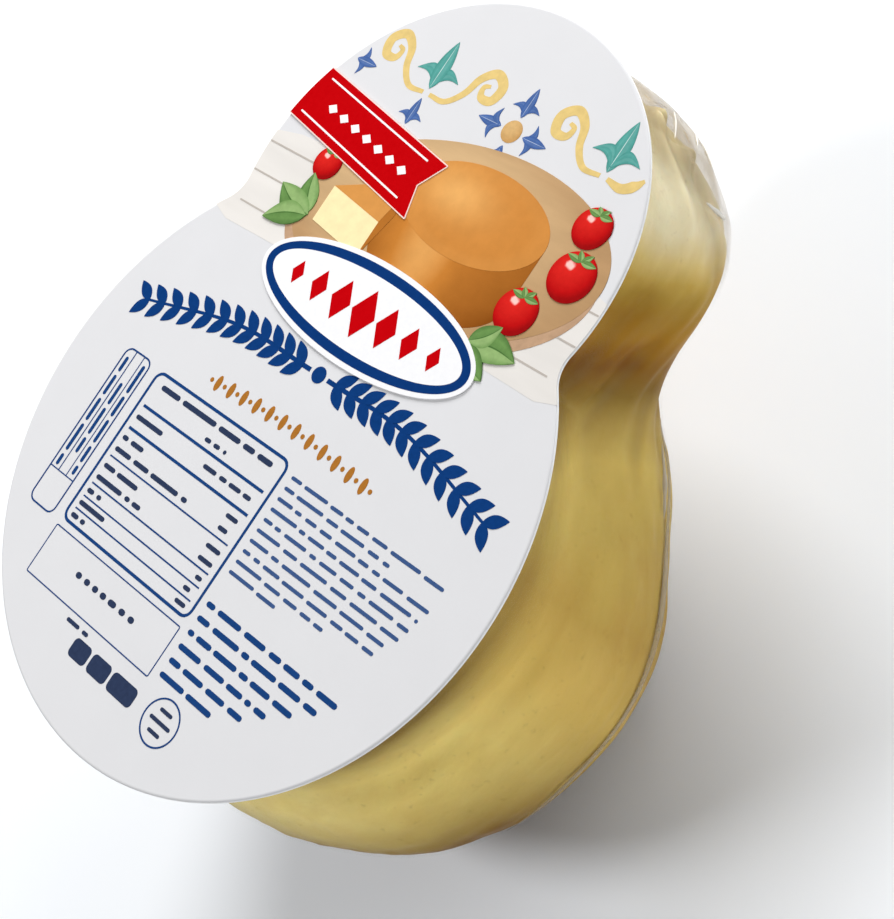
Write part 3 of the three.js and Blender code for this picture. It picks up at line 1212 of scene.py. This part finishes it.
# two laurel branches and a row of buds, in the place of the large words
headingDims = {
    "branch": [(1.4, 11.6), (14.0, 11.4), (28.4, 8.2)],
    "stemWidths": (0.55, 0.3),
    "leafPairs": 12,
    "leafLength": 3.0,
    "leafWidth": 1.4,
    "leafLean": 42,
    "berry": (0.0, 11.6, 0.95),
    "budRow": [(-12.6, 4.9), (0.6, 5.4), (14.4, 4.6)],
    "buds": 25,
    # half width and half height of the small and the large ones, in turn
    "budSizes": [(0.28, 0.28), (0.42, 0.95)],
}


def buildHeading(dims):
    leaves, stems = [], []
    for mirror in (1, -1):
        course = smoothPath([(mirror * x, y) for x, y in dims["branch"]], 60)
        stems.append(strokeShape(course, np.linspace(*dims["stemWidths"], len(course))))
        for i in np.linspace(3, len(course) - 2, dims["leafPairs"]).astype(int):
            heading = course[min(i + 1, len(course) - 1)] - course[i - 1]
            along = math.atan2(heading[1], heading[0])
            for lean in (dims["leafLean"], -dims["leafLean"]):
                turn = along + math.radians(lean)
                far = course[i] + dims["leafLength"] * np.array([math.cos(turn), math.sin(turn)])
                leaves.append(leafShape(course[i], far, dims["leafWidth"]))
    leaves.append(fillShape(circlePoints(*dims["berry"], count=24)))
    inkPiece("print_laurel_stems", stems, 1, "navy")
    inkPiece("print_laurel", leaves, 2, "navy")
    row = smoothPath(dims["budRow"], dims["buds"])
    buds = [fillShape(circlePoints(*place, *dims["budSizes"][i % 2], count=16))
            for i, place in enumerate(row)]
    inkPiece("print_buds", buds, 1, "brown")


# boxes, rules and rows of plain dashes, in the place of the small print
smallPrintDims = {
    # boxes: left, bottom, right and top
    "table": (-20.1, -16.9, 3.5, 2.4),
    "codeBox": (-20.1, -24.0, 3.4, -17.9),
    "sideBox": (-26.4, -17.6, -21.8, 2.7),
    # the corners' radius and the line's width of each box
    "boxLines": {"table": (1.1, 0.36), "codeBox": (0.15, 0.14), "sideBox": (1.0, 0.2)},
    # how high on the label, and how wide
    "tableRules": [(-1.7, 0.34), (-4.6, 0.34), (-8.3, 0.18), (-11.9, 0.18), (-13.6, 0.18), (-15.2, 0.18)],
    "ruleMargin": 0.9,
    # inside the side box: upright rules from its left side, and one across from its foot
    "sideRules": (1.6, 3.1),
    "sideFoot": 4.4,
    "sideRuleWidth": 0.14,
    "sideRuleInset": 0.1,
    "ring": (8.3, -26.7, 2.55),
    "ringWidth": 0.2,
    # rows of dashes: start, end, how high on the label, thickness and longest dash
    "titles": [(-18.4, 1.6, 1.1, 0.62, 6.5), (-8.6, -4.8, -0.7, 0.5, 2.6)],
    "codes": [(-13.4, -1.6, -20.7, 0.7, 1.4), (-10.8, -6.0, -25.0, 0.45, 2.6)],
    # how high on the label, then how far the dashes reach from the left and from the right
    "tableRows": [(-3.1, 5.2, 9.0), (-5.8, 3.9, 2.4), (-7.3, 13.5, 2.4), (-9.5, 6.4, 2.4),
                  (-11.0, 8.4, 2.4), (-12.8, 2.6, 1.2), (-14.4, 5.2, 1.8), (-16.0, 2.6, 1.8)],
    "tableSides": (-19.2, 2.4),
    # thickness and longest dash
    "leftDashes": (0.55, 5.0),
    "rightDashes": (0.5, 3.0),
    "weight": [(-8.0, -4.9), (-4.5, -1.1), (-0.7, 3.7)],
    "weightHeights": (-27.9, -25.7),
    "weightRadius": 0.6,
    # in the ring: half length, how far from its middle
    "ringRows": [(0.8, 1.2), (1.5, 0.0), (0.8, -1.2)],
    "ringRowWidth": 0.42,
    "paragraph": {"start": 4.7, "end": 28.6, "top": 1.3, "step": -1.28, "thickness": 0.40, "longest": 4.6,
                  "rise": -0.02, "shorter": (0, 7, 0, 0.5, 0.8, 1.2, 1.8, 2.2, 9.5, 16)},
    "boldParagraph": {"start": 4.6, "end": 26.4, "top": -14.2, "step": -1.72, "thickness": 0.62,
                      "longest": 4.4, "rise": 0.0, "shorter": (0, 1.8, 4.6, 7.2, 8.6, 12.0)},
    # upright rows in the side box: from its left side, bottom and top
    "sideRows": [(0.8, -12.6, 1.4), (2.35, -10.2, -1.4), (3.85, -12.4, 1.6)],
    "sideDashes": (1.2, 3.2),
    "sideDashGap": 1.0,
    "sideRowWidth": 0.5,
    "seed": 11,
}


shortestDash = 0.9
dashGaps = (0.45, 0.7)


def dashRow(draw, start, end, y, thickness, longest, rise=0.0):
    shapes = []
    x = start
    while x < end - thickness:
        length = min(draw.uniform(shortestDash, longest), end - x)
        if length > thickness:
            level = y + rise * (x - start)
            near, far = x + thickness / 2, x + length - thickness / 2
            shapes.append(barShape((near, level), (far, level), thickness))
        x += length + draw.uniform(*dashGaps)
    return shapes


def paragraphRows(draw, dims):
    rows = []
    for i, shorter in enumerate(dims["shorter"]):
        place = (dims["start"], dims["end"] - shorter, dims["top"] + dims["step"] * i)
        rows += dashRow(draw, *place, dims["thickness"], dims["longest"], dims["rise"])
    return rows


def boxLine(dims, box, steps=6):
    radius, width = dims["boxLines"][box]
    return strokeShape(roundedBox(*dims[box], radius, steps), width, closed=True)


def buildSmallPrint(dims):
    draw = random.Random(dims["seed"])
    left, _, right, _ = dims["table"]
    margin = dims["ruleMargin"]
    lines = [boxLine(dims, "table")]
    lines += [strokeShape([(left + margin, y), (right - margin, y)], width)
              for y, width in dims["tableRules"]]
    lines += [boxLine(dims, "codeBox", 3), boxLine(dims, "sideBox")]
    left, bottom, right, top = dims["sideBox"]
    foot = bottom + dims["sideFoot"]
    inset = dims["sideRuleInset"]
    ends = [[(left + x, foot), (left + x, top - inset)] for x in dims["sideRules"]]
    ends.append([(left + inset, foot), (right - inset, foot)])
    lines += [strokeShape(line, dims["sideRuleWidth"]) for line in ends]
    lines.append(strokeShape(circlePoints(*dims["ring"], count=64), dims["ringWidth"], closed=True))
    inkPiece("print_rules", lines, 1, "navy rules")

    dashes = []
    for row in dims["titles"]:
        dashes += dashRow(draw, *row)
    tableLeft, tableRight = dims["tableSides"]
    for y, fromLeft, fromRight in dims["tableRows"]:
        dashes += dashRow(draw, tableLeft, tableLeft + fromLeft, y, *dims["leftDashes"])
        dashes += dashRow(draw, tableRight - fromRight, tableRight, y, *dims["rightDashes"])
    for row in dims["codes"]:
        dashes += dashRow(draw, *row)
    low, high = dims["weightHeights"]
    dashes += [fillShape(roundedBox(start, low, end, high, dims["weightRadius"]))
               for start, end in dims["weight"]]
    x, y, _ = dims["ring"]
    dashes += [barShape((x - reach, y + up), (x + reach, y + up), dims["ringRowWidth"])
               for reach, up in dims["ringRows"]]
    inkPiece("print_dashes", dashes, 1, "dark dashes")

    inkPiece("print_paragraph", paragraphRows(draw, dims["paragraph"]), 1, "fine dashes")
    rows = paragraphRows(draw, dims["boldParagraph"])
    for fromLeft, bottom, top in dims["sideRows"]:
        x, y = left + fromLeft, top
        while y > bottom:
            length = draw.uniform(*dims["sideDashes"])
            rows.append(barShape((x, y), (x, max(y - length, bottom)), dims["sideRowWidth"]))
            y -= length + dims["sideDashGap"]
    inkPiece("print_bold_paragraph", rows, 1, "navy rules")


buildHeading(headingDims)
buildSmallPrint(smallPrintDims)
print("stage: small print set")


studioDims = {
    "floorHalf": 1500.0,
    "floorTones": (tone(244, 248, 253), tone(247, 250, 254)),
    "floorDust": (40.0, 2, 0.5),
    "floorSockets": {"Roughness": 0.9, "Specular IOR Level": 0.1},
    "worldStrength": 0.02,
    "worldTint": (0.90, 0.95, 1.0, 1.0),
    # name, direction to the light, distance, size, watts
    "lights": [
        ("back", (-0.48, 0.71, 0.52), 700.0, 400.0, 5.6),
        ("side", (0.31, 0.81, 0.50), 700.0, 700.0, 2.3),
        ("front", (-0.39, -0.44, 0.81), 700.0, 220.0, 2.2),
        ("fill", (0.78, -0.56, 0.28), 800.0, 420.0, 1.7),
    ],
}


def floorMaterial(dims):
    material, tree, place = startMaterial("studio floor")
    dust = noiseField(tree, place, *dims["floorDust"])
    dress(tree, {"Base Color": mixTones(tree, dust, *dims["floorTones"]), **dims["floorSockets"]})
    return material


def buildFloor(dims):
    half = dims["floorHalf"]
    corners = [(-half, -half), (half, -half), (half, half), (-half, half)]
    mesh = bpy.data.meshes.new("floor")
    mesh.from_pydata([(x * mm, y * mm, 0.0) for x, y in corners], [], [(0, 1, 2, 3)])
    mesh.materials.append(floorMaterial(dims))
    floor = bpy.data.objects.new("floor", mesh)
    bpy.context.scene.collection.objects.link(floor)


def buildLight(name, direction, distance, size, watts):
    data = bpy.data.lights.new(name, "AREA")
    data.shape = "DISK"
    data.size = size * mm
    data.energy = watts
    light = bpy.data.objects.new(name, data)
    toLight = Vector(direction).normalized()
    light.location = toLight * distance * mm
    light.rotation_euler = toLight.to_track_quat("Z", "Y").to_euler()
    bpy.context.scene.collection.objects.link(light)


def buildWorld(dims):
    world = bpy.data.worlds.new("studio")
    world.use_nodes = True
    backdrop = world.node_tree.nodes["Background"]
    backdrop.inputs["Color"].default_value = dims["worldTint"]
    backdrop.inputs["Strength"].default_value = dims["worldStrength"]
    bpy.context.scene.world = world


buildFloor(studioDims)
buildWorld(studioDims)
for light in studioDims["lights"]:
    buildLight(*light)
bpy.context.scene.view_settings.view_transform = "Standard"
print("stage: studio built")
